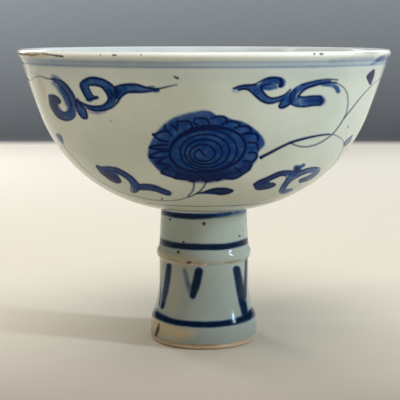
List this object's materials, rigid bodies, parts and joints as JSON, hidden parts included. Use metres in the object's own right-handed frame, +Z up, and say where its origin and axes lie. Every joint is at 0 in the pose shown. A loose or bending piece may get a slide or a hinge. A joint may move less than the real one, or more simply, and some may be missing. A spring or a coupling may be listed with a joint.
{
  "type": "stem cup",
  "caption": "Wide porcelain drinking cup with a turned-out lip on a hollow stem that has a raised ring and a spreading foot, glazed with a painted scroll.",
  "frame": {"origin": "centre of the foot ring, on the surface that the cup stands on", "axes": "+Z up along the cup's axis, -Y towards the flower that faces the camera, +X to the right of it"},
  "size_m": [0.15, 0.15, 0.12],
  "materials": {
    "porcelain_body": "fired porcelain body under the glaze",
    "inner_glaze": "glossy transparent glaze, slightly grey-blue",
    "outer_glaze": "glossy transparent glaze over blue painting",
    "slip": "fired slip, glazed over",
    "porcelain_biscuit": "bare fired body, matte, iron-tinged",
    "stem_glaze": "glossy transparent glaze, greenish grey, over blue painting"
  },
  "bodies": {
    "root": {"bowl": "porcelain_body", "bowl_inner_glaze": "inner_glaze", "bowl_outer_glaze": "outer_glaze", "luting_slip": "slip", "stem": "porcelain_biscuit", "stem_glaze": "stem_glaze"}
  },
  "joints": []
}
